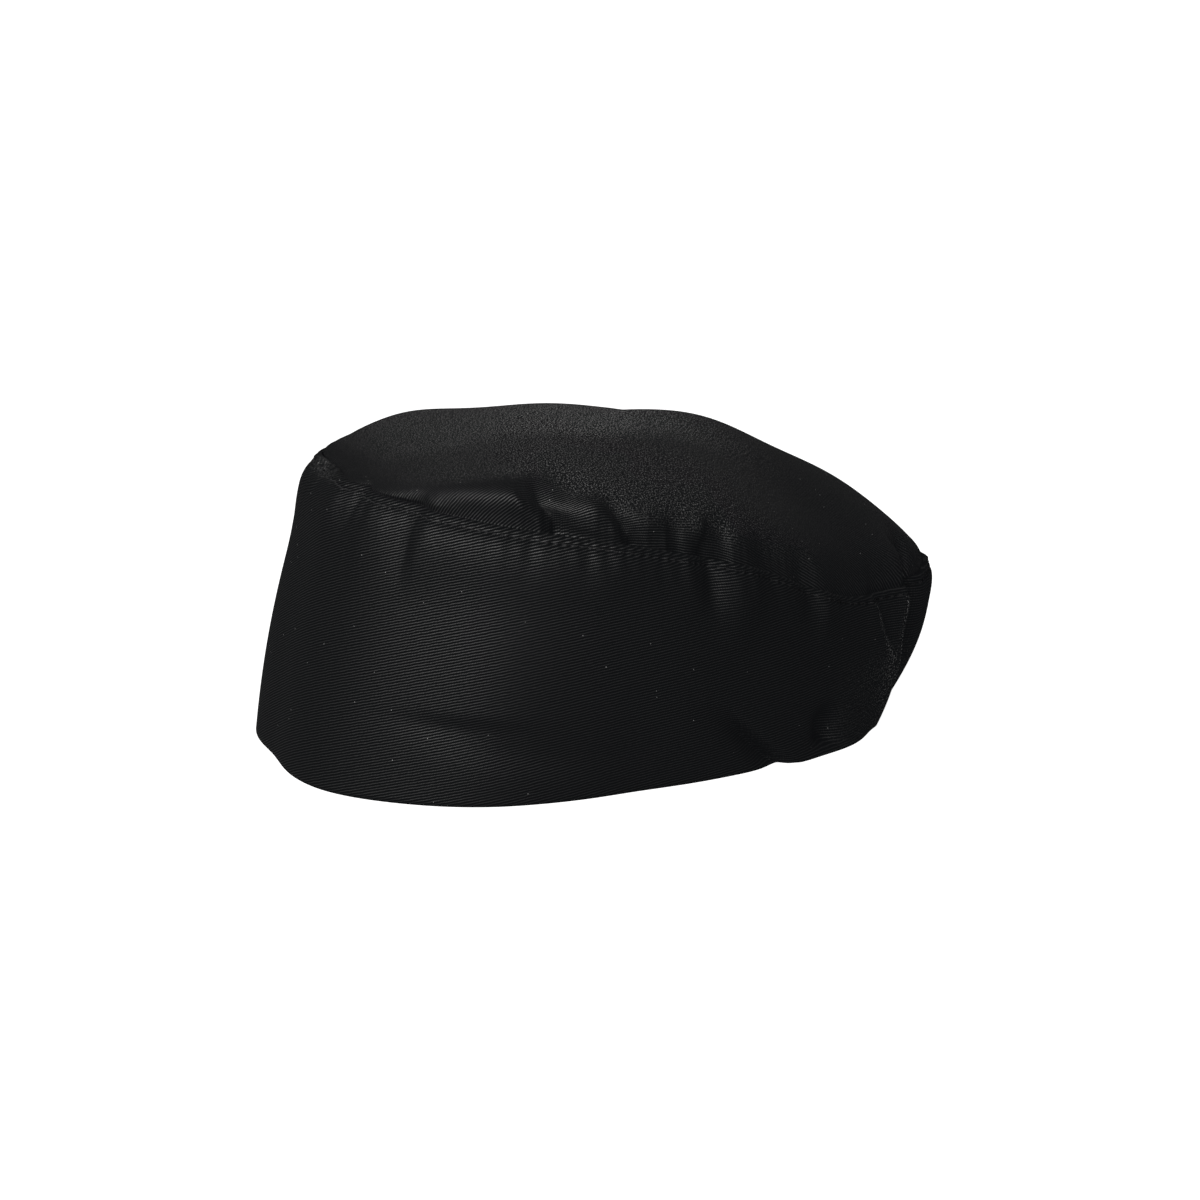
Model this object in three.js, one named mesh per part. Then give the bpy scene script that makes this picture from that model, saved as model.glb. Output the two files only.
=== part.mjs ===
// A black work hat for a kitchen: a soft skull cap whose side band is tall at the front and low at
// the back, with a puffed top panel gathered into it. Millimetres, +Z up, the front faces -Y and the
// hem lies on the floor. A "turn" is an angle in degrees about the vertical, from the front (0)
// through the +X side (90) to the back (180).
import * as THREE from "three";

const CLOTH = 1.5; // thickness of the twill
const CLEARANCE = 0.8; // between the band and the top panel's tucked edge
const HEM_TURN_UP = 22; // depth of the hem that is turned up inside the band
const HEM_THICKNESS = 3; // outer cloth and turned up hem together
const SHOULDER_LEVEL = 0.86; // place of the roll under the seam, as a share of the band's height
const SHOULDER_SPREAD = 0.14;
const TOP_CENTRE = 12; // the top panel's middle, behind the hem's middle
const TOP_BASE = 79; // height that the top panel's puff is counted from
const TOP_SOFTNESS = 0.3; // rounds the top panel's middle, as a share of the way to the seam
const FOLD_LEAD = 0.3; // share of a fold's length over which it rises
const EDGE_FADE = 0.3; // level of the top panel where the folds of the band's edge have died out
const COLUMNS = 144; // steps around the hat
const CLOTH_COLOUR = 0x1b1b1e;
const TOP_COLOUR = 0x161618;

// Half of the hat in steps of 30 degrees: radius of the hem, radius and height of the seam that
// joins band and top panel, how far the band bows out at half its height and rolls out just under
// the seam, and how square the top panel's shoulder is above the seam
const SECTION_STEP = 30;
const SECTIONS = [
  { turn: 0, hem: 98.5, seam: 77, height: 92.5, belly: 2.8, shoulder: 4.5, square: 1.3 },
  { turn: 30, hem: 103.5, seam: 80.5, height: 89.5, belly: 3.2, shoulder: 2.2, square: 1.8 },
  { turn: 60, hem: 97, seam: 81, height: 83.5, belly: 3.5, shoulder: 3, square: 3.2 },
  { turn: 90, hem: 81.5, seam: 81.5, height: 76, belly: 3.5, shoulder: 2, square: 2.7 },
  { turn: 120, hem: 81.5, seam: 82, height: 64, belly: 3.5, shoulder: 1.5, square: 2.8 },
  { turn: 150, hem: 95, seam: 94.5, height: 46.5, belly: 0, shoulder: 1.2, square: 2.6 },
  { turn: 180, hem: 98.5, seam: 119, height: 46.5, belly: 8.3, shoulder: 0.8, square: 2.1 },
];

// Puff of the top panel along the hat, from the front to the back
const PUFF_STEP = 30;
const PUFFS = [
  { along: -80, rise: 9 },
  { along: -50, rise: 15.5 },
  { along: -20, rise: 20 },
  { along: 10, rise: 23 },
  { along: 40, rise: 26.5 },
  { along: 70, rise: 26.5 },
  { along: 100, rise: 26.1 },
];

// Folds of the band: where each one starts and ends, as a turn and a share of the band's height,
// its half width, and its height, which is negative for a hollow
const BAND_FOLDS = [
  { name: "front crease", turn: 25, level: 1, endTurn: 20, endLevel: 0.75, width: 4.5, height: -1.6 },
  { name: "front crease 2", turn: 45.5, level: 1, endTurn: 41, endLevel: 0.66, width: 4.5, height: -2.2 },
  { name: "side crease", turn: 110, level: 1, endTurn: 105, endLevel: 0.66, width: 5, height: -2.2 },
  { name: "side ridge", turn: 117, level: 1, endTurn: 114, endLevel: 0.6, width: 5, height: 1.5 },
  { name: "rear crease", turn: 133, level: 1, endTurn: 132, endLevel: 0.75, width: 4.5, height: -1.5 },
  { name: "rear ridge", turn: 140, level: 1, endTurn: 136, endLevel: 0.65, width: 5, height: 1.5 },
  { name: "broad hollow", turn: 46, level: 0.48, endTurn: 66, endLevel: 0.2, width: 20, height: -2 },
  { name: "hem crease", turn: 128, level: -0.1, endTurn: 112, endLevel: 0.26, width: 5, height: -2.5 },
  { name: "hem ridge", turn: 134, level: -0.1, endTurn: 125, endLevel: 0.26, width: 5, height: 1.5 },
  { name: "hem hollow", turn: 144, level: -0.1, endTurn: 138, endLevel: 0.4, width: 9, height: -3 },
  { name: "small back pleat", turn: 154.5, level: 1, endTurn: 156, endLevel: 0.35, width: 4.5, height: 1.5 },
  { name: "back pleat", turn: 162.5, level: 1, endTurn: 161, endLevel: -0.6, width: 5, height: 3.5 },
  { name: "back pleat hollow", turn: 167, level: 1, endTurn: 167, endLevel: -0.3, width: 4.5, height: -5 },
  { name: "back peak", turn: 185, level: 1, endTurn: 185, endLevel: 0.37, width: 10, height: 5 },
  { name: "left back pleat", turn: -161.5, level: 1, endTurn: -160, endLevel: -0.6, width: 5, height: 4.5 },
  { name: "left back hollow", turn: -168, level: 1, endTurn: -168, endLevel: -0.3, width: 5, height: -4.5 },
  { name: "left hem hollow", turn: -143, level: -0.1, endTurn: -139, endLevel: 0.4, width: 9, height: -2.5 },
  { name: "left rear crease", turn: -128, level: 1, endTurn: -126, endLevel: 0.72, width: 5, height: -1.7 },
  { name: "left side crease", turn: -104, level: 1, endTurn: -101, endLevel: 0.75, width: 4.5, height: -1.5 },
  { name: "left broad hollow", turn: -50, level: 0.5, endTurn: -64, endLevel: 0.2, width: 18, height: -1.8 },
  { name: "left front crease", turn: -38, level: 1, endTurn: -35, endLevel: 0.75, width: 4.5, height: -1.6 },
];

// Gathers of the top panel, in the same columns: level 0 is the seam and 1 the middle of the top
const TOP_FOLDS = [
  { name: "front swell", turn: 56, level: 0, endTurn: 50, endLevel: 0.7, width: 13, height: 2 },
  { name: "main crease", turn: 74, level: 0, endTurn: 62, endLevel: 0.6, width: 6, height: -4.5 },
  { name: "second crease", turn: 88, level: 0, endTurn: 81, endLevel: 0.5, width: 5, height: -3.5 },
  { name: "side ridge", turn: 92.5, level: 0, endTurn: 91, endLevel: 0.3, width: 4.5, height: 1.5 },
  { name: "side crease", turn: 99.5, level: 0, endTurn: 99, endLevel: 0.35, width: 4.5, height: -2.2 },
  { name: "side crease 2", turn: 109, level: 0, endTurn: 109, endLevel: 0.25, width: 4.5, height: -1.8 },
  { name: "rear crease", turn: 128, level: 0, endTurn: 130, endLevel: 0.3, width: 5, height: -1.5 },
  { name: "back ridge", turn: 162, level: 0, endTurn: 168, endLevel: 0.5, width: 5, height: 2.5 },
  { name: "back crease", turn: 168, level: 0, endTurn: 170, endLevel: 0.4, width: 5, height: -3 },
  { name: "inner back ridge", turn: 174, level: 0, endTurn: 176, endLevel: 0.6, width: 6, height: 1.5 },
  { name: "left back crease", turn: -168, level: 0, endTurn: -170, endLevel: 0.4, width: 5, height: -3 },
  { name: "left back ridge", turn: -161, level: 0, endTurn: -167, endLevel: 0.5, width: 5, height: 2.5 },
  { name: "left rear crease", turn: -131, level: 0, endTurn: -128, endLevel: 0.4, width: 5, height: -3 },
  { name: "left side crease", turn: -112, level: 0, endTurn: -109, endLevel: 0.35, width: 4.5, height: -2.2 },
  { name: "left side crease 2", turn: -94, level: 0, endTurn: -90, endLevel: 0.45, width: 5, height: -3.2 },
  { name: "left main crease", turn: -77, level: 0, endTurn: -68, endLevel: 0.5, width: 6, height: -4 },
  { name: "left front crease", turn: -56, level: 0, endTurn: -51, endLevel: 0.35, width: 5, height: -2.2 },
];

// Rows of points up each wall, as shares of its height
const BAND_OUTSIDE = [0, 0.05, 0.16, 0.32, 0.48, 0.62, 0.74, 0.85, 0.94, 1];
const TUCK = [0.86, 0.93, 1]; // of the top panel's edge, which runs down inside the band
const BAND_INSIDE = [...TUCK.toReversed(), 0.68, 0.5];
const TOP_LEVELS = [0, 0.04, 0.1, 0.18, 0.28, 0.4, 0.54, 0.74];

const radians = THREE.MathUtils.degToRad;

// Smooth curve through equally spaced values, where each value is looked up by its whole number
function smoothBetween(valueAt, place) {
  const whole = Math.floor(place);
  const part = place - whole;
  const [before, start, end, after] = [-1, 0, 1, 2].map((step) => valueAt(whole + step));
  const linear = end - before;
  const square = 2 * before - 5 * start + 4 * end - after;
  const cube = 3 * start - before - 3 * end + after;
  return start + 0.5 * part * (linear + part * (square + part * cube));
}

// A column of the sections at any turn: both halves of the hat share the rows
function section(turn, column) {
  const count = 2 * (SECTIONS.length - 1);
  const valueAt = (index) => {
    const wrapped = ((index % count) + count) % count;
    return SECTIONS[Math.min(wrapped, count - wrapped)][column];
  };
  return smoothBetween(valueAt, turn / SECTION_STEP);
}

function puff(along) {
  const last = PUFFS.length - 1;
  const place = THREE.MathUtils.clamp((along - PUFFS[0].along) / PUFF_STEP, 0, last);
  return smoothBetween((index) => PUFFS[THREE.MathUtils.clamp(index, 0, last)].rise, place);
}

// Height of all folds of a list at one place, each fading out past its two ends
function foldHeight(folds, turn, level, radius) {
  let total = 0;
  for (const fold of folds) {
    const share = (level - fold.level) / (fold.endLevel - fold.level);
    if (share >= -FOLD_LEAD && share <= 1) {
      const middle = THREE.MathUtils.lerp(fold.turn, fold.endTurn, share);
      const away = radians(THREE.MathUtils.euclideanModulo(turn - middle + 180, 360) - 180) * radius;
      const lead = THREE.MathUtils.smoothstep(share, -FOLD_LEAD, 0);
      const fade = 1 - THREE.MathUtils.smoothstep(share, FOLD_LEAD, 1);
      total += fold.height * lead * fade * Math.exp(-((away / fold.width) ** 2));
    }
  }
  return total;
}

function atTurn(turn, radius, height) {
  const angle = radians(turn);
  return new THREE.Vector3(radius * Math.sin(angle), -radius * Math.cos(angle), height);
}

// Outward direction of a surface without its folds, from two short steps along it
function outward(surface, turn, level, step) {
  const here = surface(turn, level);
  const around = surface(turn + 1, level).sub(surface(turn - 1, level));
  const up = surface(turn, level + step).sub(here).multiplyScalar(Math.sign(step));
  return around.cross(up).normalize();
}

function plainBand(turn, level) {
  const hem = section(turn, "hem");
  const seam = section(turn, "seam");
  const bow = 4 * section(turn, "belly") * level * (1 - level);
  const roll = Math.exp(-(((level - SHOULDER_LEVEL) / SHOULDER_SPREAD) ** 2));
  const underSeam = Math.min((1 - level) / (1 - SHOULDER_LEVEL), 1);
  const radius = hem + (seam - hem) * level + bow + section(turn, "shoulder") * roll * underSeam;
  return atTurn(turn, radius, section(turn, "height") * level);
}

// A point of the band's cloth, set in from its outer face
function bandPoint(turn, level, inset) {
  const point = plainBand(turn, level);
  const lift = foldHeight(BAND_FOLDS, turn, level, Math.hypot(point.x, point.y));
  const direction = outward(plainBand, turn, Math.min(level, 0.99), 0.01);
  direction.z = 0;
  point.addScaledVector(direction.normalize(), lift - inset);
  return point;
}

// The line where the top panel leaves the band
function topRoot(turn) {
  return bandPoint(turn, 1, CLOTH + CLEARANCE);
}

// Grows evenly with the reach, but starts flat
function soften(reach) {
  return Math.hypot(reach, TOP_SOFTNESS) - TOP_SOFTNESS;
}

function plainTop(turn, level) {
  const root = plainBand(turn, 1);
  root.lerp(topRoot(turn), 1 - THREE.MathUtils.smoothstep(level, 0.02, EDGE_FADE));
  const square = section(turn, "square");
  const lean = (Math.PI / 2) * THREE.MathUtils.clamp(level, 0, 1);
  const reach = Math.cos(lean) ** (2 / square);
  const x = root.x * reach;
  const y = TOP_CENTRE + (root.y - TOP_CENTRE) * reach;
  const power = 2 + (square - 2) * reach;
  const rise = Math.max(1 - reach ** power, 0) ** (1 / power);
  const slope = (root.z - TOP_BASE) * (soften(reach) / soften(1));
  return new THREE.Vector3(x, y, TOP_BASE + slope + puff(y) * rise);
}

// A point of the top panel's cloth, set in from its outer face. Its folds start a little above
// the seam, which keeps the panel clear of the band.
function topPoint(turn, level, inset) {
  const point = plainTop(turn, level);
  const radius = Math.hypot(point.x, point.y - TOP_CENTRE);
  const start = THREE.MathUtils.smoothstep(level, 0, 0.06);
  const lift = start * foldHeight(TOP_FOLDS, turn, level, radius);
  const step = level < 0.5 ? 0.02 : -0.02;
  return point.addScaledVector(outward(plainTop, turn, level, step), lift - inset);
}

// A closed body from rows of points: each row runs once around, and the last row joins the first.
// A row of one point is a pole.
function closedBody(rows) {
  const positions = [];
  const starts = rows.map((row) => {
    const start = positions.length / 3;
    row.forEach((point) => positions.push(point.x, point.y, point.z));
    return start;
  });
  const corner = (row, column) => starts[row] + (column % rows[row].length);
  const faces = [];
  const addFace = (a, b, c) => {
    if (a !== b && b !== c && c !== a) {
      faces.push(a, b, c);
    }
  };
  for (let row = 0; row < rows.length; row += 1) {
    const next = (row + 1) % rows.length;
    for (let column = 0; column < COLUMNS; column += 1) {
      const low = [corner(row, column), corner(row, column + 1)];
      const high = [corner(next, column), corner(next, column + 1)];
      addFace(low[0], low[1], high[1]);
      addFace(low[0], high[1], high[0]);
    }
  }
  const geometry = new THREE.BufferGeometry();
  geometry.setAttribute("position", new THREE.Float32BufferAttribute(positions, 3));
  geometry.setIndex(faces);
  geometry.computeVertexNormals();
  return geometry;
}

function rowAround(pointAt) {
  return Array.from({ length: COLUMNS }, (_, column) => pointAt((360 * column) / COLUMNS));
}

// The side band with its hem turned up inside, open at both ends and flat where it rests
function makeBand() {
  const rows = BAND_OUTSIDE.map((level) => rowAround((turn) => bandPoint(turn, level, 0)));
  BAND_INSIDE.forEach((level) => rows.push(rowAround((turn) => bandPoint(turn, level, CLOTH))));
  const hemLevel = (turn, depth) => depth / section(turn, "height");
  rows.push(rowAround((turn) => bandPoint(turn, hemLevel(turn, HEM_TURN_UP + 1), CLOTH)));
  rows.push(rowAround((turn) => bandPoint(turn, hemLevel(turn, HEM_TURN_UP), HEM_THICKNESS)));
  rows.push(rowAround((turn) => bandPoint(turn, hemLevel(turn, HEM_TURN_UP / 3), HEM_THICKNESS)));
  rows.push(rowAround((turn) => bandPoint(turn, 0, HEM_THICKNESS)));
  return closedBody(rows);
}

// The top panel, with its edge tucked down inside the band
function makeTop() {
  const tuckInset = CLOTH + CLEARANCE;
  const tuckRow = (level, inset) => rowAround((turn) => bandPoint(turn, level, inset));
  const rows = TUCK.slice(0, -1).map((level) => tuckRow(level, tuckInset));
  TOP_LEVELS.forEach((level) => rows.push(rowAround((turn) => topPoint(turn, level, 0))));
  rows.push([topPoint(0, 1, 0)]);
  rows.push([topPoint(0, 1, CLOTH)]);
  const inside = TOP_LEVELS.slice(1).reverse();
  inside.forEach((level) => rows.push(rowAround((turn) => topPoint(turn, level, CLOTH))));
  TUCK.toReversed().forEach((level) => rows.push(tuckRow(level, tuckInset + CLOTH)));
  return closedBody(rows);
}

function makeMesh(name, geometry, color) {
  const material = new THREE.MeshStandardMaterial({ color, roughness: 0.85, metalness: 0 });
  const mesh = new THREE.Mesh(geometry, material);
  mesh.name = name;
  return mesh;
}

const hat = new THREE.Group();
hat.add(makeMesh("band", makeBand(), CLOTH_COLOUR));
hat.add(makeMesh("top_panel", makeTop(), TOP_COLOUR));

// The origin is under the middle of the hat, on the floor
const extent = new THREE.Box3().setFromObject(hat, true);
hat.position.set(-(extent.min.x + extent.max.x) / 2, -(extent.min.y + extent.max.y) / 2, -extent.min.z);

export default hat;
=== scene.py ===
import bpy
import numpy as np
from mathutils import Matrix, Vector


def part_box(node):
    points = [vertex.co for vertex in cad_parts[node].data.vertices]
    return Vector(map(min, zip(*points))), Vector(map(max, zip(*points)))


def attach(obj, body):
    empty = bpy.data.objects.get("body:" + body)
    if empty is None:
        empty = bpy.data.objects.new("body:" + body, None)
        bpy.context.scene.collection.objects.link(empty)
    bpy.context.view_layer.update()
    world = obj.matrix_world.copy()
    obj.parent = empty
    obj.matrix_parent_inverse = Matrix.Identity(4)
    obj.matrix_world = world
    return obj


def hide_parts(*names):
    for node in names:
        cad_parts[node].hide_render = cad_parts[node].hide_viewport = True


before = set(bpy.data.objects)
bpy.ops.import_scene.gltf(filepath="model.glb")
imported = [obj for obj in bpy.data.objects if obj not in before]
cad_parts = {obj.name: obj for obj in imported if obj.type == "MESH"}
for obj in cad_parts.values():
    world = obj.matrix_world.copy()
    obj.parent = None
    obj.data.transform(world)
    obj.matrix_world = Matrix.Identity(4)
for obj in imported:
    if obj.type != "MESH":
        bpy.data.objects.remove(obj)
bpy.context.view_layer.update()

# Camera
# It looks at the hat's left side from a little above, with the hat's front to the left of the
# picture, and leans over slightly as the photograph's does.
MM = 0.001
FRONT_REACH = 98.5  # millimetres from the hem's axis to the band at the front
AZIMUTH = np.radians(75.35)
ELEVATION = np.radians(12.58)
ROLL = np.radians(-1.35)
CAMERA_DISTANCE = 1.5
AIM_HEIGHT = 0.05
PICTURE = 1200
FOCAL_PIXELS = 4676.6
AIM_PIXEL = (567.5, 576.2)
SENSOR = 36.0

hem_axis = Vector((0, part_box("band")[0].y + FRONT_REACH * MM, 0))
backwards = Vector((
    np.sin(AZIMUTH) * np.cos(ELEVATION),
    -np.cos(AZIMUTH) * np.cos(ELEVATION),
    np.sin(ELEVATION),
))
level_right = Vector((np.cos(AZIMUTH), np.sin(AZIMUTH), 0))
level_up = backwards.cross(level_right)
camera_right = level_right * np.cos(ROLL) + level_up * np.sin(ROLL)
camera_up = level_up * np.cos(ROLL) - level_right * np.sin(ROLL)
camera_data = bpy.data.cameras.new("camera")
camera_data.sensor_width = SENSOR
camera_data.lens = FOCAL_PIXELS / PICTURE * SENSOR
camera_data.shift_x = (PICTURE / 2 - AIM_PIXEL[0]) / PICTURE
camera_data.shift_y = (AIM_PIXEL[1] - PICTURE / 2) / PICTURE
camera_data.clip_end = 50
camera = bpy.data.objects.new("camera", camera_data)
bpy.context.scene.collection.objects.link(camera)
eye = hem_axis + Vector((0, 0, AIM_HEIGHT)) + backwards * CAMERA_DISTANCE
turned = Matrix((camera_right, camera_up, backwards)).transposed()
camera.matrix_world = Matrix.Translation(eye) @ turned.to_4x4()
bpy.context.scene.camera = camera

# Band
# The side band is one strip of black twill, tall at the front and low at the back, with its ends
# joined at the centre back. Its hem is turned up inside, and the gathered hem pulls the back into
# upright pleats. Its upper edge is folded in and topstitched over the top panel's edge.
#
# Sizes are millimetres. Levels are shares of a height, from 0 at the bottom to 1 at the top.
CLOTH_THICKNESS = 0.9
EDGE_THICKNESS = 1.35
HEM_THICKNESS = 2.2
HEM_TURN_UP = 22.0
COLUMNS = 800
SHOULDER_LEVEL = 0.92
SHOULDER_SPREAD = 0.15
STITCH_DEPTH = 2.0
STITCHES = 180
PUFF_DEPTH = 0.8


def table(columns, *rows):
    """Rows of values under named columns."""
    return [dict(zip(columns.split(), row)) for row in rows]


# A section every 30 degrees from the front: radius at the hem and at the seam, height of the band,
# how far its wall bows out and its shoulder stands out, how square the billow is, and the level on
# the billow above which pale fuzz and painted light lie.
SECTION_STEP = 30
SECTIONS = table(
    "turn hem seam height belly shoulder square fluff",
    (0, 98.5, 77, 92.5, 2.8, 3.8, 1.3, 0.24),
    (30, 104.5, 80.5, 89.5, 3.2, 2.2, 1.8, 0.16),
    (60, 98.5, 81, 83.5, 3.5, 3, 3.2, 0.37),
    (90, 83, 81.5, 76, 3.5, 2, 2.7, 0.25),
    (120, 83, 82, 64, 3.5, 1.5, 2.8, 0.15),
    (150, 95.2, 94.5, 46.5, 0, 1.2, 2.6, 0.13),
    (180, 98.5, 119, 46.5, 8.4, 0.8, 2.1, 0.1),
)

# Folds run from (turn, level) to (end_turn, end_level), in degrees from the front and shares of the
# piece's height. Each falls away over "before" millimetres on the side of the lesser turns and over
# "after" on the other side. Hollows have a negative height; sharp ones have a lower "round".
FOLD_COLUMNS = "turn level end_turn end_level before after round height"
FOLD_LEAD = 0.3
FOLD_FULL = 0.3
BAND_FOLDS = table(
    FOLD_COLUMNS,
    (17, 1, 13, 0.7, 6, 4, 2, 1.0),
    (-3, 1, -14, 0.76, 1.2, 1.2, 2, 0.6),
    (1, 1, -10, 0.76, 1.2, 1.2, 2, 0.6),
    (5, 1, -6, 0.78, 1.2, 1.2, 2, 0.6),
    (24.6, 1, 21, 0.82, 5, 1.8, 2, -2.2),
    (30, 0.97, 27, 0.55, 4, 8, 2, 0.8),
    (41.6, 1, 39.4, 0.7, 7, 2.2, 2, -2.0),
    (45.2, 1, 43, 0.66, 2.2, 8, 2, 1.0),
    (68.5, 1, 67.5, 0.78, 4, 6, 2, -0.7),
    (79, 1, 78, 0.78, 4, 6, 2, -0.7),
    (85, 1, 83, 0.7, 5, 6, 2, 0.5),
    (98, 1, 95, 0.7, 6, 6, 2, -0.6),
    (108, 1, 107, 0.7, 4, 4, 2, -3.4),
    (116, 1, 112, 0.5, 7, 9, 2, 2.8),
    (122.5, 1, 121, 0.8, 3, 4, 2, -0.9),
    (134.5, 1, 133, 0.7, 4, 3, 1.8, -1.7),
    (139.5, 1, 137, 0.55, 3.5, 6, 2, 1.7),
    (57, 0.27, 80, 0.05, 18, 22, 2, -1.6),
    (124.5, 0.04, 107, 0.37, 7, 1.3, 1.7, -6.0),
    (136, -0.1, 110, 0.37, 2, 8, 2, 1.4),
    (139, 0.1, 139.5, 0.36, 6.5, 4.5, 2, -6.0),
    (154, 0.92, 160, 0.45, 5, 1.6, 1.8, 1.4),
    (157, 0.92, 162, 0.45, 1.8, 5, 1.8, -1.8),
    (162.3, 1, 161, -0.6, 5, 1.6, 1.6, 2.4),
    (165.6, 1, 165, -0.6, 1.7, 2.6, 1.6, -7.0),
    (185, 1, 185, 0.37, 12, 8, 2, 5.5),
    (-161.5, 1, -160, -0.6, 1.6, 4, 1.6, 3.0),
    (-165.5, 1, -165, -0.6, 3, 1.6, 1.6, -6.5),
    (-143, -0.1, -139, 0.4, 8, 4, 1.6, -3.0),
    (-128, 1, -126, 0.68, 4, 3, 2, -1.8),
    (-104, 1, -101, 0.7, 4, 3, 2, -1.6),
    (-84, 1, -83, 0.8, 4, 3, 2, -1.0),
    (-70, 1, -69, 0.8, 4, 3, 2, -1.0),
    (-50, 0.5, -64, 0.2, 18, 12, 2, -2.0),
    (-38, 1, -35, 0.7, 5, 3, 2, -1.8),
    (-22, 1, -19, 0.75, 5, 3, 2, -1.4),
)


def smooth_between(values_at, place):
    """Smooth curve through equally spaced values, looked up by whole numbers."""
    whole = np.floor(place).astype(int)
    part = place - whole
    before, start, end, after = (values_at(whole + step) for step in (-1, 0, 1, 2))
    square = 2 * before - 5 * start + 4 * end - after
    cube = 3 * start - before - 3 * end + after
    return start + 0.5 * part * ((end - before) + part * (square + part * cube))


def section(turn, column):
    """A column of the sections at any turn; both halves of the hat share the rows."""
    rows = np.array([row[column] for row in SECTIONS], float)
    count = 2 * (len(rows) - 1)

    def value_at(index):
        wrapped = index % count
        return rows[np.minimum(wrapped, count - wrapped)]

    return smooth_between(value_at, np.asarray(turn, float) / SECTION_STEP)


def fade(share, start, end):
    """Falls smoothly from 1 at the start to 0 at the end, whichever of them is greater."""
    t = np.clip((share - start) / (end - start), 0, 1)
    return 1 - t * t * (3 - 2 * t)


def bell(value, middle, width):
    """1 at the middle, falling away on both sides over the width."""
    return np.exp(-(((value - middle) / width) ** 2))


def fold_height(folds, turn, level, radius):
    """Rise of all the folds at once; each begins a little before its first end, and dies out."""
    total = np.zeros(np.broadcast(turn, level).shape)
    for fold in folds:
        share = (level - fold["level"]) / (fold["end_level"] - fold["level"])
        middle = fold["turn"] + (fold["end_turn"] - fold["turn"]) * share
        away = np.radians((turn - middle + 180) % 360 - 180) * radius
        width = np.where(away < 0, fold["before"], fold["after"])
        inside = (share >= -FOLD_LEAD) & (share <= 1)
        hill = fade(share, 0, -FOLD_LEAD) * fade(share, FOLD_FULL, 1)
        hill = hill * np.exp(-(np.abs(away / width) ** fold["round"]))
        total += np.where(inside, fold["height"] * hill, 0)
    return total


def at_turn(turn, radius, height):
    """A point at a turn from the front, in millimetres from the hem's axis."""
    angle = np.radians(turn)
    return np.stack([radius * np.sin(angle), -radius * np.cos(angle), height + 0 * turn], -1)


def plain_band(turn, level):
    """The band's outer face without its folds; level 0 is the hem and 1 the upper edge."""
    hem, seam = section(turn, "hem"), section(turn, "seam")
    bow = 4 * section(turn, "belly") * level * (1 - level)
    roll = bell(level, SHOULDER_LEVEL, SHOULDER_SPREAD)
    past = np.clip((level - SHOULDER_LEVEL) / (1 - SHOULDER_LEVEL), 0, 1)
    radius = hem + (seam - hem) * level + bow + section(turn, "shoulder") * roll * (1 - past ** 2)
    return at_turn(turn, radius, section(turn, "height") * level)


def outward(surface, turn, level, step):
    """Outward direction of a surface without its folds, from two short steps along it."""
    step = np.broadcast_to(step, np.shape(turn))
    around = surface(turn + 0.5, level) - surface(turn - 0.5, level)
    up = (surface(turn, level + step) - surface(turn, level)) * np.sign(step)[..., None]
    direction = np.cross(around, up)
    return direction / np.linalg.norm(direction, axis=-1, keepdims=True)


def ripple(turn, level, seed, waves, size):
    """Small unevenness that runs once round the hat with no seam."""
    random = np.random.default_rng(seed)
    total = 0
    for count in waves:
        lean = random.uniform(-6, 6)
        total = total + random.uniform(0.4, 1) * np.sin(
            np.radians(turn) * count + lean * level + random.uniform(0, 2 * np.pi))
    return size * total / np.sqrt(len(waves))


def edge_roll(depth):
    """Rise of the folded upper edge, and the dip that its stitching pulls into the cloth."""
    return 0.35 * bell(depth, PUFF_DEPTH, 0.8) - 0.4 * bell(depth, STITCH_DEPTH, 0.7)


def stitch_pull(turn, depth):
    """Each stitch hole draws the cloth in, and the edge puffs up between the holes."""
    phase = np.radians(turn) * STITCHES + 1.3 * np.sin(np.radians(turn) * 13)
    at_edge = 0.24 * bell(depth, PUFF_DEPTH, 0.9) * np.cos(phase + 0.9)
    at_hole = 0.3 * bell(depth, STITCH_DEPTH, 0.9) * np.cos(phase)
    return at_edge - at_hole


def band_point(turn, level, inset):
    """A point of the band's cloth, set in from its outer face."""
    point = plain_band(turn, level)
    radius = np.hypot(point[..., 0], point[..., 1])
    depth = section(turn, "height") * (1 - level)
    lift = fold_height(BAND_FOLDS, turn, level, radius)
    lift = lift + ripple(turn, level, 3, (5, 7, 9, 12, 16), 0.35)
    pucker = fade(depth, 3, 14) * (0.4 + 0.6 * fade(depth, STITCH_DEPTH, 0))
    lift = lift + pucker * ripple(turn, level, 5, (37, 47, 58, 71, 90), 0.34)
    lift = lift + edge_roll(depth) + stitch_pull(turn, depth)
    direction = outward(plain_band, turn, np.minimum(level, 0.99), 0.01)
    direction[..., 2] = 0
    direction /= np.linalg.norm(direction, axis=-1, keepdims=True)
    return point + direction * (lift - inset)[..., None]


def to_frame(points):
    """From millimetres round the hem's axis to the frame's metres."""
    return points * MM + np.array(hem_axis)


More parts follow.
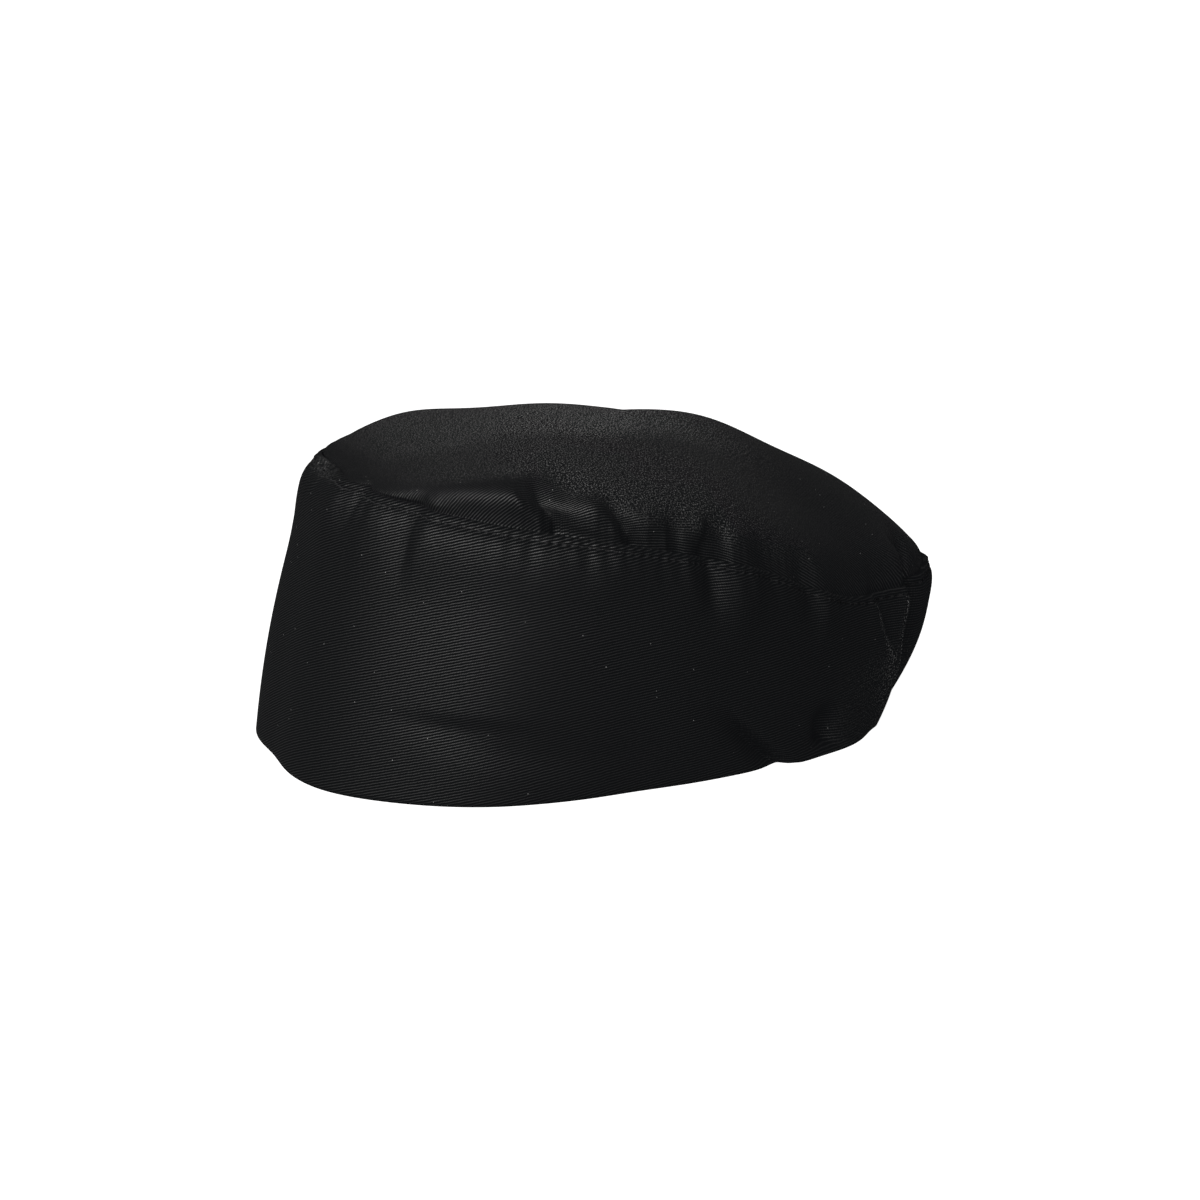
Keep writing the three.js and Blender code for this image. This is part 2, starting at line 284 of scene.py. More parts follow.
def cloth_object(name, rows, cloth_places, fluff):
    """A cloth piece from rows of points that run once round the hat, the last joined to the first.

    The first column comes again as the last of the cloth places, at the far end of the flat strip.
    The last argument gives how much pale fuzz and painted light each row holds.
    """
    starts, vertices, fluff_and_light = [], [], []
    for row, cover in zip(rows, fluff):
        starts.append(len(vertices))
        vertices.extend(to_frame(row).tolist())
        fluff_and_light.extend(np.broadcast_to(cover, len(row)).tolist())
    faces, weave = [], []
    for low in range(len(rows)):
        high = (low + 1) % len(rows)
        for column in range(COLUMNS):
            corners = [(low, column), (low, column + 1), (high, column + 1), (high, column)]
            face = []
            for row, place in corners:
                index = starts[row] + place % len(rows[row])
                if index not in face:
                    face.append(index)
                    weave.append(cloth_places[row][place])
            faces.append(face)
    mesh = bpy.data.meshes.new(name)
    mesh.from_pydata(vertices, [], faces)
    layer = mesh.uv_layers.new(name="weave")
    layer.data.foreach_set("uv", np.array(weave, np.float32).ravel())
    # The mesh attribute carries pale fuzz and painted light for the cloth's material
    cover = mesh.attributes.new("fluff", "FLOAT", "POINT")
    cover.data.foreach_set("value", np.array(fluff_and_light, np.float32))
    mesh.polygons.foreach_set("use_smooth", [True] * len(faces))
    mesh.update()
    cloth = bpy.data.objects.new(name, mesh)
    bpy.context.scene.collection.objects.link(cloth)
    return cloth


# The weave's ribs climb at 20 degrees at the front, and level out along the strip's left side
TURNS = np.linspace(-180, 180, COLUMNS + 1)
RIB_START = np.radians(20)
RIB_TURN = np.radians(-0.079)
hem_line = plain_band(TURNS, np.zeros(COLUMNS + 1))
hem_steps = np.linalg.norm(np.diff(hem_line, axis=0), axis=1)
along_hem = np.concatenate([[0], np.cumsum(hem_steps)])
along_hem -= along_hem[COLUMNS // 2]
rib_angle = RIB_START + RIB_TURN * along_hem
middle_angle = (rib_angle[1:] + rib_angle[:-1]) / 2
strip_steps = np.stack([np.cos(middle_angle), -np.sin(middle_angle)], -1) * hem_steps[:, None]
strip_line = np.concatenate([[[0, 0]], np.cumsum(strip_steps, axis=0)])
strip_up = np.stack([np.sin(rib_angle), np.cos(rib_angle)], -1)


def band_row(level, inset):
    """One row of the band with its places on the flat strip."""
    level = np.broadcast_to(level, TURNS.shape)
    row = band_point(TURNS, level, np.broadcast_to(inset, TURNS.shape))
    rise = (section(TURNS, "height") * level)[:, None]
    return row[:-1], strip_line + strip_up * rise


band_height = section(TURNS, "height")
hem_turn_level = HEM_TURN_UP / band_height
band_rows, band_places, band_fluff_and_light = [], [], []

# Where pale fuzz and painted highlights lie on the band: turns in degrees, and how thick they lie
PLEAT_TURN, PLEAT_SPREAD = 162.4, 0.45
LESSER_TURN, LESSER_LEAN, LESSER_SPREAD, LESSER_EDGE_HIGHLIGHT = 153.6, 13, 0.5, 0.45
FOOT_TURN, FOOT_SPREAD, FOOT_PAINTED_LIGHT = 160, 2.5, 0.05
RIM_TURN, RIM_SPREAD, RIM_PAINTED_HIGHLIGHT = -2, 9, 0.08
BACK_BAND_PAINTED_LIGHT = 0.08


def fluff_and_light_on_band(level):
    """Pale fuzz and painted highlights on the edges and the foot of the near pleats, the rim above
    the front, and painted light on the side.
    """
    # Painted highlight along the edge of the near pleat
    pleat = bell(TURNS, PLEAT_TURN, PLEAT_SPREAD) * (0.6 + 0.4 * fade(level, 0.25, 0.85))
    pleat = pleat * fade(level, 0.94, 0.98)
    # Painted highlight along the edge of a lesser fold
    lesser_turn = LESSER_TURN + LESSER_LEAN * (1 - level)
    lesser = LESSER_EDGE_HIGHLIGHT * bell(TURNS, lesser_turn, LESSER_SPREAD)
    lesser = lesser * fade(level, 0.6, 0.45) * fade(level, 0.9, 0.96)
    # Painted light on the foot of the pleats, and a painted highlight on the rim above the front
    foot = FOOT_PAINTED_LIGHT * bell(TURNS, FOOT_TURN, FOOT_SPREAD) * fade(level, 0.3, 0.6)
    rim = RIM_PAINTED_HIGHLIGHT * bell(TURNS, RIM_TURN, RIM_SPREAD) * fade(band_height * (1 - level), 2, 4)
    # Painted light that makes the side of the band behind the pleats lighter
    back_band_painted_light = BACK_BAND_PAINTED_LIGHT * fade(TURNS, 158, 138) * fade(TURNS, 164, 176) * fade(level, 0.35, 0.7)
    return pleat + lesser + foot + rim + back_band_painted_light


def add_band_row(level, inset):
    """A row of the band, set in from the outer face; pale fuzz and painted light lie on the outside
    alone.
    """
    row, places = band_row(level, inset)
    outside = np.less(inset, EDGE_THICKNESS)
    band_rows.append(row)
    band_places.append(places)
    band_fluff_and_light.append(np.where(outside, fluff_and_light_on_band(level), 0)[:-1])


# Rows run up the outer face, over the folded edge, down inside, and over the turned-up hem
WALL_ROWS = 52
WALL_END_DEPTH = 6.2
EDGE_DEPTHS = (5.4, 4.7, 4.1, 3.6, 3.2, 2.9, 2.6, 2.3, 2.0, 1.7, 1.4, 1.1, 0.8, 0.5, 0.2, 0)
EDGE_RISE = 0.25
EDGE_END_LEVEL = 0.9
INSIDE_LEVEL = 0.88
HEM_EDGE_STEP = 0.01
inside_drop = hem_turn_level + HEM_EDGE_STEP - INSIDE_LEVEL
for share in np.linspace(0, 1, WALL_ROWS):
    add_band_row(share * (1 - WALL_END_DEPTH / band_height), 0)
for depth in EDGE_DEPTHS:
    add_band_row(1 - depth / band_height, 0)
for share in (0.25, 0.75):
    add_band_row(1 + EDGE_RISE / band_height, EDGE_THICKNESS * share)
for level in np.linspace(1, EDGE_END_LEVEL, 6):
    add_band_row(level, EDGE_THICKNESS)
for share in np.linspace(0, 1, 16):
    add_band_row(INSIDE_LEVEL + inside_drop * share, CLOTH_THICKNESS)
for share in np.linspace(1, 0, 8):
    add_band_row(hem_turn_level * share, HEM_THICKNESS)
band = cloth_object("band_cloth", band_rows, band_places, band_fluff_and_light)


def node_group(name, inputs, outputs):
    """An empty shader node group with named values in and out."""
    group = bpy.data.node_groups.new(name, "ShaderNodeTree")
    for label, kind, default in inputs:
        socket = group.interface.new_socket(label, in_out="INPUT", socket_type=kind)
        if default is not None:
            socket.default_value = default
    for label, kind in outputs:
        group.interface.new_socket(label, in_out="OUTPUT", socket_type=kind)
    entry = group.nodes.new("NodeGroupInput")
    result = group.nodes.new("NodeGroupOutput")
    return group, entry, result


def calculate(tree, operation, *values):
    """A Math node; each value is a number or another node's output."""
    node = tree.nodes.new("ShaderNodeMath")
    node.operation = operation
    for socket, value in zip(node.inputs, values):
        if isinstance(value, (int, float)):
            socket.default_value = value
        else:
            tree.links.new(value, socket)
    return node.outputs[0]


def noise(tree, place, scale, detail=2.0, roughness=0.5):
    """A Noise Texture over the flat cloth; the scale is in waves per millimetre."""
    node = tree.nodes.new("ShaderNodeTexNoise")
    node.noise_dimensions = "2D"
    node.inputs["Scale"].default_value = scale
    node.inputs["Detail"].default_value = detail
    node.inputs["Roughness"].default_value = roughness
    tree.links.new(place, node.inputs["Vector"])
    return node.outputs[0]


def wave(tree, phase):
    """Rises and falls between 0 and 1, once for each whole step of the phase."""
    angle = calculate(tree, "MULTIPLY", phase, 2 * np.pi)
    return calculate(tree, "MULTIPLY_ADD", calculate(tree, "COSINE", angle), 0.5, 0.5)


def ramp(tree, value, stops):
    """A colour or grey for each value, from pairs of a value and a colour."""
    node = tree.nodes.new("ShaderNodeValToRGB")
    elements = node.color_ramp.elements
    for element, (position, colour) in zip(elements, (stops[0], stops[-1])):
        element.position = position
        element.color = (*colour, 1)
    for position, colour in stops[1:-1]:
        elements.new(position).color = (*colour, 1)
    tree.links.new(value, node.inputs[0])
    return node.outputs[0]


# The weave: lengths in millimetres, and scales in waves or specks per millimetre
WANDER = 0.3
FLOAT_LENGTH = 0.52
FLOAT_DEPTH = 0.24
NAP_SCALE = 1.7
TUFTS_PER_MM = (2.4, 1.7, 1)
TUFT_THRESHOLD = 0.545
TUFT_GAIN = 22.0
LINT_PER_MM = 0.17
LINT_SIZE = 0.022
LINT_CHANCE = 0.63


def make_twill():
    """Twill weave: slanting ribs of short floats, from a place on the flat cloth in millimetres.

    Ribs are 1 on the crown of a rib and 0 in the gap beside it, and Height is their relief. Fluff
    is above 0 in small tufts of pale fibre, and Lint is 1 on stray white specks.
    """
    group, entry, result = node_group(
        "twill",
        [("Place", "NodeSocketVector", None), ("Rib Spacing", "NodeSocketFloat", 0.84)],
        [(label, "NodeSocketFloat") for label in ("Ribs", "Height", "Lint", "Fluff")],
    )
    link = group.links.new
    place = entry.outputs["Place"]
    split = group.nodes.new("ShaderNodeSeparateXYZ")
    link(place, split.inputs[0])
    wander = calculate(group, "SUBTRACT", noise(group, place, 0.35), 0.5)
    across = calculate(group, "MULTIPLY_ADD", wander, WANDER, split.outputs[1])
    ribs = calculate(group, "DIVIDE", across, entry.outputs["Rib Spacing"])
    rib = wave(group, ribs)
    floats = calculate(group, "DIVIDE", split.outputs[0], FLOAT_LENGTH)
    floats = wave(group, calculate(group, "ADD", floats, ribs))
    crowned = calculate(group, "MULTIPLY_ADD", floats, FLOAT_DEPTH, 1 - FLOAT_DEPTH)
    woven = calculate(group, "MULTIPLY", rib, crowned)
    nap = calculate(group, "SUBTRACT", noise(group, place, NAP_SCALE, 4, 0.75), 0.5)
    link(calculate(group, "MULTIPLY_ADD", nap, 0.5, woven), result.inputs["Ribs"])
    link(calculate(group, "MULTIPLY_ADD", nap, 0.4, woven), result.inputs["Height"])
    stretched = group.nodes.new("ShaderNodeVectorMath")
    stretched.operation = "MULTIPLY"
    link(place, stretched.inputs[0])
    stretched.inputs[1].default_value = TUFTS_PER_MM
    tufts = noise(group, stretched.outputs[0], 1, 1, 0.5)
    tufts = calculate(group, "SUBTRACT", tufts, TUFT_THRESHOLD)
    tufts = calculate(group, "MULTIPLY", tufts, TUFT_GAIN)
    link(calculate(group, "MAXIMUM", tufts, 0.0), result.inputs["Fluff"])
    dots = group.nodes.new("ShaderNodeTexVoronoi")
    dots.voronoi_dimensions = "2D"
    dots.inputs["Scale"].default_value = LINT_PER_MM
    link(place, dots.inputs["Vector"])
    speck = calculate(group, "LESS_THAN", dots.outputs["Distance"], LINT_SIZE)
    chosen = calculate(group, "GREATER_THAN", noise(group, place, 0.11, 3), LINT_CHANCE)
    link(calculate(group, "MULTIPLY", speck, chosen), result.inputs["Lint"])
    return group


twill = make_twill()


def mix_colour(tree, share, first, second):
    """One colour where the share is 0 and the other where it is 1; each is a node's or a value."""
    node = tree.nodes.new("ShaderNodeMix")
    node.data_type = "RGBA"
    tree.links.new(share, node.inputs["Factor"])
    for label, colour in (("A", first), ("B", second)):
        if isinstance(colour, tuple):
            node.inputs[label].default_value = (*colour, 1)
        else:
            tree.links.new(colour, node.inputs[label])
    return node.outputs["Result"]


# Haze is a painted glow: the black cloth gives off a faint, even light of its own
BLACK_GAP = (0.00025, 0.00028, 0.0003)
BLACK_RIB = (0.0006, 0.00063, 0.00066)
# The pale colour is stray fibre, and painted light where the mesh's attribute lays it on
PALE_FLUFF_AND_PAINTED_LIGHT = (0.05, 0.05, 0.05)
HAZE_GLOW = (0.0037, 0.0039, 0.0044)
CLOTH_ROUGHNESS = 0.9
SHEEN_ROUGHNESS = 0.4
GLOSS_ROUGHNESS = 0.6
GLOSS_IOR = 3.0
BUMP_DEPTH = 0.12
SOLID_FLUFF_AND_LIGHT = 0.35
FLUFF_AND_LIGHT_HIDES_GLOSS = -2.6


def twill_material(name, gloss, sheen):
    """Matt black polycotton twill: the crowns of its ribs shine a little, the gaps stay black.

    Where the mesh's attribute of pale fuzz and painted light is high, tufts of pale fuzz cover the
    ribs and their gloss, and paint light on the cloth.
    """
    material = bpy.data.materials.new(name)
    material.use_nodes = True
    tree = material.node_tree
    shader = tree.nodes["Principled BSDF"]
    place = tree.nodes.new("ShaderNodeUVMap")
    place.uv_map = "weave"
    weave = tree.nodes.new("ShaderNodeGroup")
    weave.node_tree = twill
    tree.links.new(place.outputs[0], weave.inputs["Place"])
    cover = tree.nodes.new("ShaderNodeAttribute")
    cover.attribute_name = "fluff"
    cloth = ramp(tree, weave.outputs["Ribs"], [(0.3, BLACK_GAP), (1.0, BLACK_RIB)])
    # Painted light: the pale colour is mixed in by the mesh's attribute, in tufts and, above a
    # threshold, solid
    tufts = calculate(tree, "MULTIPLY", cover.outputs["Fac"], weave.outputs["Fluff"])
    solid = calculate(tree, "SUBTRACT", cover.outputs["Fac"], SOLID_FLUFF_AND_LIGHT)
    fluff_and_light = calculate(tree, "MAXIMUM", tufts, solid)
    cloth = mix_colour(tree, fluff_and_light, cloth, PALE_FLUFF_AND_PAINTED_LIGHT)
    cloth = mix_colour(tree, weave.outputs["Lint"], cloth, PALE_FLUFF_AND_PAINTED_LIGHT)
    tree.links.new(cloth, shader.inputs["Base Color"])
    shader.inputs["Roughness"].default_value = CLOTH_ROUGHNESS
    shader.inputs["Specular IOR Level"].default_value = 0.0
    shader.inputs["Sheen Weight"].default_value = sheen
    shader.inputs["Sheen Roughness"].default_value = SHEEN_ROUGHNESS
    # Painted glow: the cloth gives off the haze as a faint light
    shader.inputs["Emission Color"].default_value = (*HAZE_GLOW, 1)
    shader.inputs["Emission Strength"].default_value = 1.0
    bare = calculate(
        tree, "MULTIPLY_ADD", cover.outputs["Fac"], FLUFF_AND_LIGHT_HIDES_GLOSS, weave.outputs["Ribs"])
    shine = ramp(tree, bare, [(0.6, (0, 0, 0)), (0.95, (gloss, gloss, gloss))])
    tree.links.new(shine, shader.inputs["Coat Weight"])
    shader.inputs["Coat Roughness"].default_value = GLOSS_ROUGHNESS
    shader.inputs["Coat IOR"].default_value = GLOSS_IOR
    bump = tree.nodes.new("ShaderNodeBump")
    bump.inputs["Strength"].default_value = 1.0
    bump.inputs["Distance"].default_value = BUMP_DEPTH * MM
    tree.links.new(weave.outputs["Height"], bump.inputs["Height"])
    tree.links.new(bump.outputs[0], shader.inputs["Normal"])
    return material


band.data.materials.append(twill_material("band_twill", gloss=0.037, sheen=0.0015))
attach(band, "root")
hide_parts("band")

# Top panel
# An oval of the same twill, larger than the opening that it closes. Its edge is gathered and
# tucked down inside the band, so it billows up between short creases and stays smooth on top.
#
# The billow's middle is behind the hem's axis. It rises over its base by the heights in PUFFS.
TOP_CENTRE = 12.0
TOP_BASE = 79.0
TOP_SOFTNESS = 0.3
TOP_INSET = 1.6
GATHER_TURN, GATHER_SPREAD = 88, 22
GATHER_LEVEL = 0.22
SWELLS = (38, 47, 61, 80)
SWELL_HEIGHT = 0.25
PUFF_STEP = 30
PUFFS = [
    dict(along=-80, rise=9),
    dict(along=-50, rise=15.5),
    dict(along=-20, rise=20),
    dict(along=10, rise=23),
    dict(along=40, rise=26.5),
    dict(along=70, rise=26.5),
    dict(along=100, rise=26.1),
]
TOP_FOLDS = table(
    FOLD_COLUMNS,
    (-8, 0, 4, 0.3, 13, 12, 2, -3.6),
    (56, 0, 50, 0.7, 13, 11, 2, 1.2),
    (68, 0, 58.5, 0.5, 7, 2.2, 2, 1.8),
    (72.6, 0, 64.5, 0.56, 2.6, 5, 2, -3.2),
    (76, 0.05, 72, 0.62, 7, 6, 2, -2.6),
    (82, 0, 80, 0.4, 5, 4, 2, 1.2),
    (90, 0, 83, 0.42, 2.8, 4, 2, -3.2),
    (95, 0, 94, 0.36, 4, 4, 2, 1.2),
    (100.5, 0, 99.5, 0.3, 3, 3, 2, -1.8),
    (106, 0, 106.5, 0.32, 3, 3, 2, 3.0),
    (112, 0, 112, 0.3, 3, 2.6, 2, -1.8),
    (116, 0, 115.5, 0.26, 3, 5, 2, 1.6),
    (126, 0, 126, 0.26, 4, 4, 2, -0.9),
    (136, 0, 134, 0.3, 5, 6, 2, 0.8),
    (162.6, 0, 165, 0.34, 5, 1.4, 1.7, 2.2),
    (165.4, 0, 169.5, 0.34, 1.6, 3, 1.7, -3.0),
    (168.5, 0, 173, 0.42, 3, 2, 1.7, 1.5),
    (-168, 0, -170, 0.4, 4, 3, 1.7, -3.0),
    (-161, 0, -166, 0.4, 2, 5, 1.7, 2.4),
    (-131, 0, -128, 0.35, 5, 2.5, 1.6, -2.8),
    (-112, 0, -109, 0.3, 4, 2.5, 1.6, -2.4),
    (-103, 0, -101, 0.25, 3, 3, 2, 1.3),
    (-94, 0, -90, 0.4, 6, 3.4, 1.8, -3.4),
    (-77, 0, -68, 0.45, 7, 3.6, 1.8, -4.2),
    (-56, 0, -51, 0.3, 5, 2.5, 1.6, -2.2),
)


def puff(along):
    """How high the top billows above its base, from the front of the hat to its back."""
    rises = np.array([row["rise"] for row in PUFFS], float)
    last = len(rises) - 1
    place = np.clip((along - PUFFS[0]["along"]) / PUFF_STEP, 0, last)
    return smooth_between(lambda index: rises[np.clip(index, 0, last)], place)


def soften(reach):
    """Reach from the middle, rounded off where the slopes of the edge meet at the middle."""
    return np.hypot(reach, TOP_SOFTNESS) - TOP_SOFTNESS


def dome(root, turn, level):
    """Billows up from an edge: level 0 is that edge and 1 the middle of the top."""
    square = section(turn, "square")
    reach = np.cos(np.clip(level, 0, 1) * np.pi / 2) ** (2 / square)
    power = 2 + (square - 2) * reach
    rise = np.maximum(1 - reach ** power, 0) ** (1 / power)
    x = root[..., 0] * reach
    y = TOP_CENTRE + (root[..., 1] - TOP_CENTRE) * reach
    slope = (root[..., 2] - TOP_BASE) * soften(reach) / soften(1)
    return np.stack([x, y, TOP_BASE + slope + puff(y) * rise], -1)


def plain_top(turn, level):
    """The top panel without its own folds; those of the band's edge die out above it."""
    edge = np.ones_like(turn)
    root = plain_band(turn, edge)
    folded = band_point(turn, edge, np.full_like(turn, TOP_INSET))
    root = root + (folded - root) * fade(level, 0.0, 0.3)[..., None]
    return dome(root, turn, level)


def unevenness(point):
    """Slow swells across the top, in millimetres."""
    random = np.random.default_rng(21)
    total = 0
    for wavelength in SWELLS:
        way = random.uniform(0, 2 * np.pi)
        along = point[..., 0] * np.cos(way) + point[..., 1] * np.sin(way)
        phase = along * 2 * np.pi / wavelength + random.uniform(0, 2 * np.pi)
        total = total + SWELL_HEIGHT * np.sin(phase)
    return total


def top_point(turn, level, inset):
    """A point of the top panel's cloth, set in from its outer face."""
    point = plain_top(turn, level)
    radius = np.hypot(point[..., 0], point[..., 1] - TOP_CENTRE)
    start = 1 - fade(level, 0, 0.05)
    ridge_start = 1 - fade(level, 0, GATHER_LEVEL)
    folds = fold_height(TOP_FOLDS, turn, level, radius)
    lift = np.where(folds < 0, 1, ridge_start) * folds + start * unevenness(point)
    gathered = 0.1 + 0.9 * bell(np.abs(turn), GATHER_TURN, GATHER_SPREAD)
    gathers = start * fade(level, 0.02, GATHER_LEVEL) * gathered
    lift = lift + gathers * ripple(turn, level, 13, (38, 52, 71, 90), 0.3)
    step = np.where(level < 0.5, 0.02, -0.02)
    direction = outward(plain_top, turn, level, step)
    return point + direction * (lift - inset)[..., None]


TOP_ROWS = 70
TOP_GRAIN = np.radians(7)
top_levels = np.linspace(0, 0.985, TOP_ROWS) ** 1.25

# Places on the flat oval: each column keeps its direction from the middle, and its own length
ladder = np.concatenate([top_levels, [1]])
plain_edge = plain_band(TURNS, np.ones_like(TURNS))
plain_rows = np.array([dome(plain_edge, TURNS, np.full(TURNS.shape, level)) for level in ladder])
rungs = np.linalg.norm(np.diff(plain_rows, axis=0), axis=2)
from_middle = np.concatenate([np.cumsum(rungs[::-1], axis=0)[::-1], np.zeros((1, COLUMNS + 1))])
spokes = plain_rows[0][:, :2] - np.array([0, TOP_CENTRE])
spokes /= np.linalg.norm(spokes, axis=1, keepdims=True)
across_grain = np.array([np.cos(TOP_GRAIN), np.sin(TOP_GRAIN)])
along_grain = np.array([-np.sin(TOP_GRAIN), np.cos(TOP_GRAIN)])


def top_place(level):
    """A row's places on the flat oval, with the ribs' direction first."""
    length = [np.interp(level, ladder, from_middle[:, column]) for column in range(COLUMNS + 1)]
    flat = spokes * np.array(length)[:, None]
    return np.stack([flat @ along_grain, flat @ across_grain], -1)


top_rows, top_places, top_fluff_and_light = [], [], []
# Painted shade: the pale top ends higher over the main crease; painted light is strongest on the
# top and fades towards the back
CREASE_TURN, CREASE_SPREAD, CREASE_PAINTED_SHADE = 67, 7, 0.12
BACK_FLUFF_AND_LIGHT, MOST_FLUFF_AND_LIGHT = 0.012, 0.182


def fluff_and_light_on_top(level, row):
    """Pale fuzz and painted light lie on the billow's top; there is less on its near side and front
    and little at its back, which paints shade there.

    It ends some way above the seam, higher over the main crease, which paints shade in the crease.
    Across and along are millimetres from the hem's axis, towards the near side and towards the
    back.
    """
    across, along = row[:, 0], row[:, 1]
    turn = TURNS[:len(row)]
    # Painted shade over the main crease, where the pale top starts higher
    lowest = section(turn, "fluff") + CREASE_PAINTED_SHADE * bell(turn, CREASE_TURN, CREASE_SPREAD)
    below = 0.07 + 0.1 * fade(turn, 96, 80)
    lies = 1 - fade(level, lowest - below, lowest + 0.11)
    # Painted shade on the near side
    near_edge = 11 * (1 - fade(along, -30, 10))
    near = fade(across - near_edge, 22, 4) * (0.38 + 0.3 * bell(along, 15, 26))
    # Painted shade at the front, and painted light that fades towards the back
    front_painted_shade = 0.42 * fade(along, -45, 5) + 0.5 * fade(along, -75, -44)
    amount = BACK_FLUFF_AND_LIGHT + MOST_FLUFF_AND_LIGHT * fade(along, 12, 76)
    return lies * (1 - near) * amount * (1 - front_painted_shade)


def add_top_row(level, inset):
    """A row of the billow, set in from its outer face."""
    row = top_point(TURNS, np.full(TURNS.shape, level), np.full(TURNS.shape, inset))[:-1]
    top_rows.append(row)
    top_places.append(top_place(level))
    top_fluff_and_light.append(fluff_and_light_on_top(level, row))


# Creases of the billow run on down behind the band's edge
seam_level = np.zeros(TURNS.shape)
crease_foot = top_point(TURNS, seam_level, seam_level) - plain_top(TURNS, seam_level)


def add_tucked_row(level, inset):
    """A row of the edge that is tucked down inside the band."""
    depth = section(TURNS, "height") * (1 - level)
    row = band_point(TURNS, np.full(TURNS.shape, level), np.full(TURNS.shape, inset))
    top_rows.append((row + crease_foot)[:-1])
    top_fluff_and_light.append(0.0)
    outwards = spokes @ np.stack([along_grain, across_grain], -1)
    top_places.append(top_place(0) + outwards * depth[:, None])


TUCKED_LEVELS = (0.88, 0.92, 0.96)
for tucked in TUCKED_LEVELS:
    add_tucked_row(tucked, TOP_INSET)
for level in top_levels:
    add_top_row(level, 0)
for inset in (0, CLOTH_THICKNESS):
    add_top_row(1, inset)
    top_rows[-1] = top_rows[-1][:1]
    top_fluff_and_light[-1] = top_fluff_and_light[-1][:1]
for level in top_levels[::-3]:
    add_top_row(level, CLOTH_THICKNESS)
for tucked in reversed(TUCKED_LEVELS):
    add_tucked_row(tucked, TOP_INSET + CLOTH_THICKNESS)
top = cloth_object("top_panel_cloth", top_rows, top_places, top_fluff_and_light)
top.data.materials.append(twill_material("top_twill", gloss=0.046, sheen=0.002))
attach(top, "root")
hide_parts("top_panel")

# Topstitching
# One row of black thread runs round the band, a little below its folded upper edge, and holds the
# edge of the top panel inside.
STITCH = 2.9
THREAD = 0.19
PLIES_PER_METRE = 4000
THREAD_SIDES = 6
THREAD_STEPS = 7
STITCH_GAP = 0.55

fine_turns = np.linspace(-180, 180, 4001)


def thread_object(name, route, normals, colour):
    """Stitches of one seam: each one dives into the cloth at both ends."""
    steps = np.linalg.norm(np.diff(route, axis=0), axis=1)
    along = np.concatenate([[0], np.cumsum(steps)])
    count = int(along[-1] / STITCH)
    vertices, faces = [], []
    for number in range(count):
        start = along[-1] * number / count
        length = along[-1] / count - STITCH_GAP
        shares = np.linspace(0, 1, THREAD_STEPS)
        spots = start + length * shares
        line = np.stack([np.interp(spots, along, route[:, axis]) for axis in range(3)], -1)
        face_out = np.stack([np.interp(spots, along, normals[:, axis]) for axis in range(3)], -1)
        face_out /= np.linalg.norm(face_out, axis=1, keepdims=True)
        hump = (np.sin(np.pi * shares) ** 0.6 * 2 - 1) * THREAD * 0.9
        line = line + face_out * hump[:, None]
        ahead = np.gradient(line, axis=0)
        ahead /= np.linalg.norm(ahead, axis=1, keepdims=True)
        side = np.cross(ahead, face_out)
        side /= np.linalg.norm(side, axis=1, keepdims=True)
        lift = np.cross(side, ahead)
        first = len(vertices)
        thin = 0.55 + 0.45 * np.sin(np.pi * shares)
        for step in range(THREAD_STEPS):
            for corner in range(THREAD_SIDES):
                angle = 2 * np.pi * corner / THREAD_SIDES
                around = np.cos(angle) * side[step] + np.sin(angle) * lift[step]
                vertices.append(line[step] + THREAD * thin[step] * around)
        for step in range(THREAD_STEPS - 1):
            for corner in range(THREAD_SIDES):
                low = first + step * THREAD_SIDES + corner
                low_next = first + step * THREAD_SIDES + (corner + 1) % THREAD_SIDES
                faces.append([low, low_next, low_next + THREAD_SIDES, low + THREAD_SIDES])
        faces.append([first + corner for corner in reversed(range(THREAD_SIDES))])
        final = first + (THREAD_STEPS - 1) * THREAD_SIDES
        faces.append([final + corner for corner in range(THREAD_SIDES)])
    mesh = bpy.data.meshes.new(name)
    mesh.from_pydata(to_frame(np.array(vertices)).tolist(), [], faces)
    mesh.polygons.foreach_set("use_smooth", [True] * len(faces))
    thread = bpy.data.objects.new(name, mesh)
    bpy.context.scene.collection.objects.link(thread)
    thread.data.materials.append(colour)
    return thread


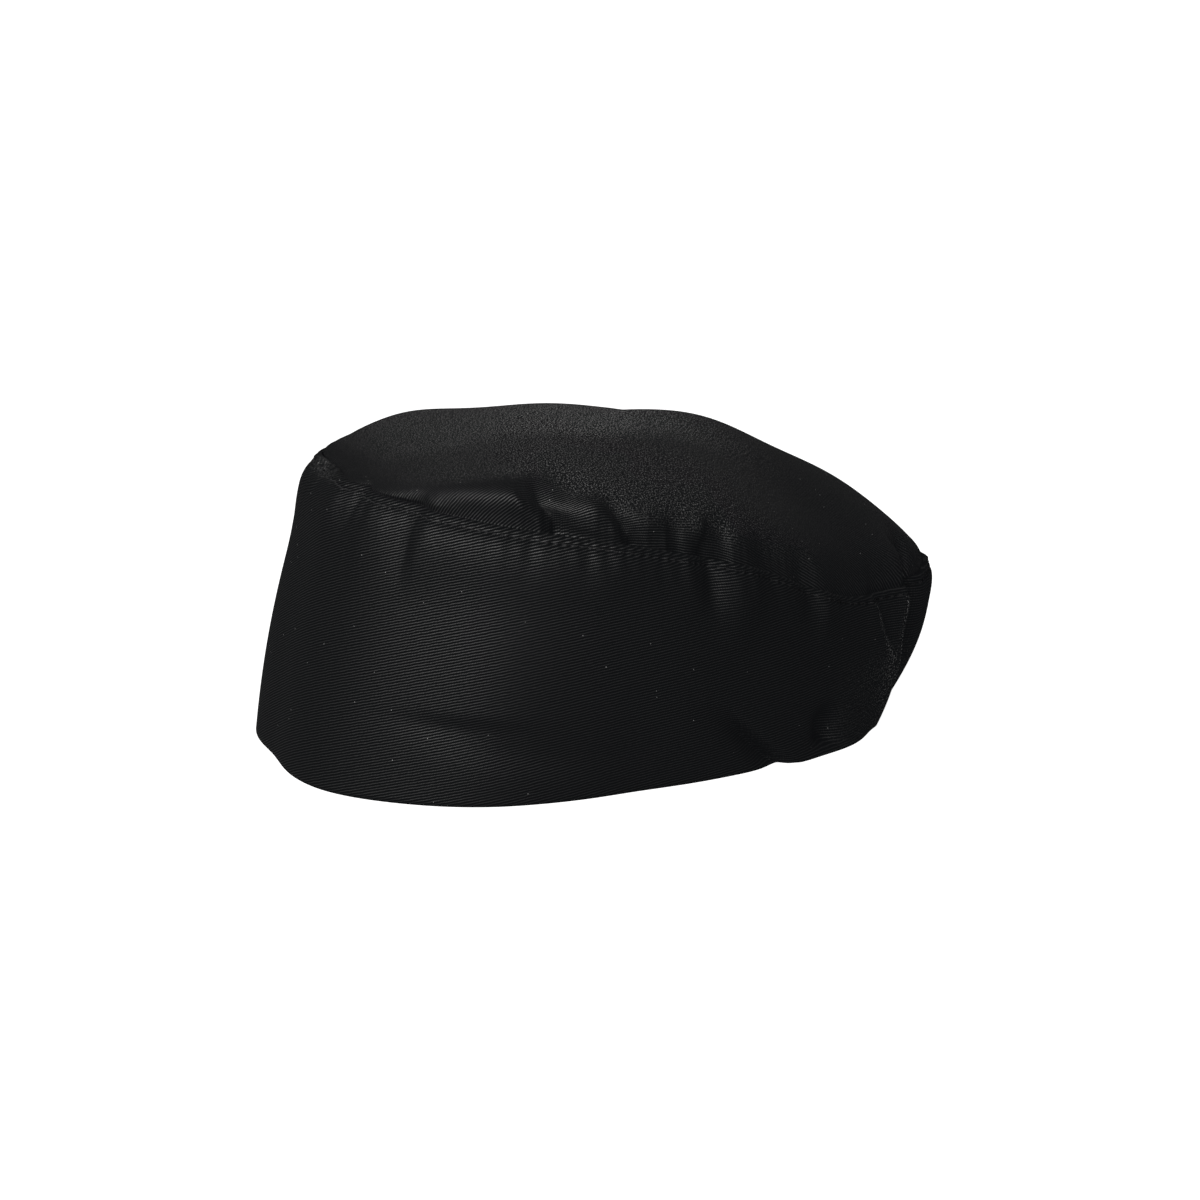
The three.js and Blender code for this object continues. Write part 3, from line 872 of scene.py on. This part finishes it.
def thread_material():
    """Black sewing thread, its plies a little uneven."""
    material = bpy.data.materials.new("black_thread")
    material.use_nodes = True
    tree = material.node_tree
    shader = tree.nodes["Principled BSDF"]
    place = tree.nodes.new("ShaderNodeTexCoord")
    twist = tree.nodes.new("ShaderNodeTexNoise")
    twist.inputs["Scale"].default_value = PLIES_PER_METRE
    tree.links.new(place.outputs["Object"], twist.inputs["Vector"])
    shade = tree.nodes.new("ShaderNodeValToRGB")
    shade.color_ramp.elements[0].color = (0.001, 0.001, 0.001, 1)
    shade.color_ramp.elements[1].color = (0.006, 0.006, 0.0065, 1)
    tree.links.new(twist.outputs[0], shade.inputs[0])
    tree.links.new(shade.outputs[0], shader.inputs["Base Color"])
    shader.inputs["Roughness"].default_value = 0.8
    shader.inputs["Specular IOR Level"].default_value = 0.02
    return material


black_thread = thread_material()
stitch_level = 1 - STITCH_DEPTH / section(fine_turns, "height")
stitch_route = band_point(fine_turns, stitch_level, np.zeros_like(fine_turns))
stitch_out = outward(plain_band, fine_turns, stitch_level, 0.01)
topstitching = thread_object("topstitching", stitch_route, stitch_out, black_thread)
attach(topstitching, "root")

# Floor and light
# A pale sweep under soft studio light: a large lamp from the upper left, and white all round.
FLOOR_WIDTH = 24.0
bpy.ops.object.select_all(action="DESELECT")
bpy.ops.mesh.primitive_plane_add(size=FLOOR_WIDTH)
floor = bpy.context.object
floor.name = "floor"
paint = bpy.data.materials.new("white_sweep")
paint.use_nodes = True
glow = paint.node_tree.nodes["Principled BSDF"]
glow.inputs["Base Color"].default_value = (0.03, 0.03, 0.03, 1)
glow.inputs["Roughness"].default_value = 0.9
glow.inputs["Emission Color"].default_value = (1, 1, 1, 1)
glow.inputs["Emission Strength"].default_value = 1.0
floor.data.materials.append(paint)


def broad_light(name, turn, rise, strength, spread, colour):
    """A distant soft light; turn is where it stands round the hat, and rise is its height."""
    turn, rise = np.radians(turn), np.radians(rise)
    way = Vector((np.sin(turn) * np.cos(rise), -np.cos(turn) * np.cos(rise), np.sin(rise)))
    data = bpy.data.lights.new(name, "SUN")
    data.energy = strength
    data.angle = np.radians(spread)
    data.color = colour
    lamp = bpy.data.objects.new(name, data)
    bpy.context.scene.collection.objects.link(lamp)
    lamp.location = way * 2
    lamp.rotation_euler = way.to_track_quat("Z", "Y").to_euler()


broad_light("key_light", turn=39, rise=40, strength=26, spread=45, colour=(1, 0.985, 0.965))
world = bpy.data.worlds.new("white_room")
world.use_nodes = True
world.node_tree.nodes["Background"].inputs["Color"].default_value = (1, 1, 1, 1)
world.node_tree.nodes["Background"].inputs["Strength"].default_value = 0.12
bpy.context.scene.world = world
bpy.context.scene.view_settings.view_transform = "Standard"
